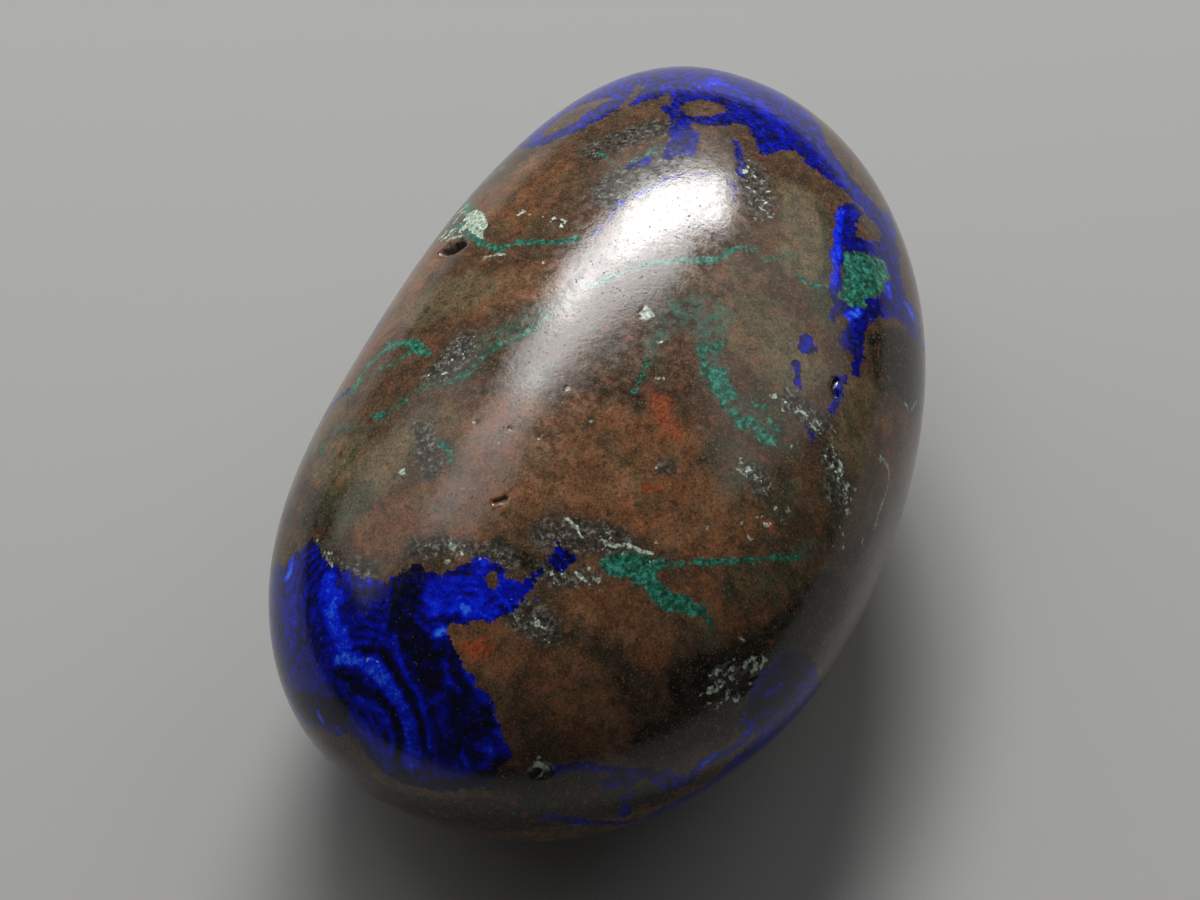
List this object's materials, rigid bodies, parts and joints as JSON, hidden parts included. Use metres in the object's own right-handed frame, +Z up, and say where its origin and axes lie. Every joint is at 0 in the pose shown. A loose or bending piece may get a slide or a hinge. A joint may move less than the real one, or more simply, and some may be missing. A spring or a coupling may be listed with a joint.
{
  "type": "polished azurite stone",
  "caption": "Egg-shaped polished stone of blue azurite and green malachite in brown rock, lying on its worn flat belly.",
  "frame": {"origin": "under the middle of the stone's box, on the surface it rests on", "axes": "+X along the stone's length towards its narrower far end, +Y across it, +Z up"},
  "size_m": [0.062, 0.0388, 0.0272],
  "materials": {
    "polished_stone": "ground and polished"
  },
  "bodies": {
    "root": {"azurite_stone": "polished_stone"}
  },
  "joints": []
}
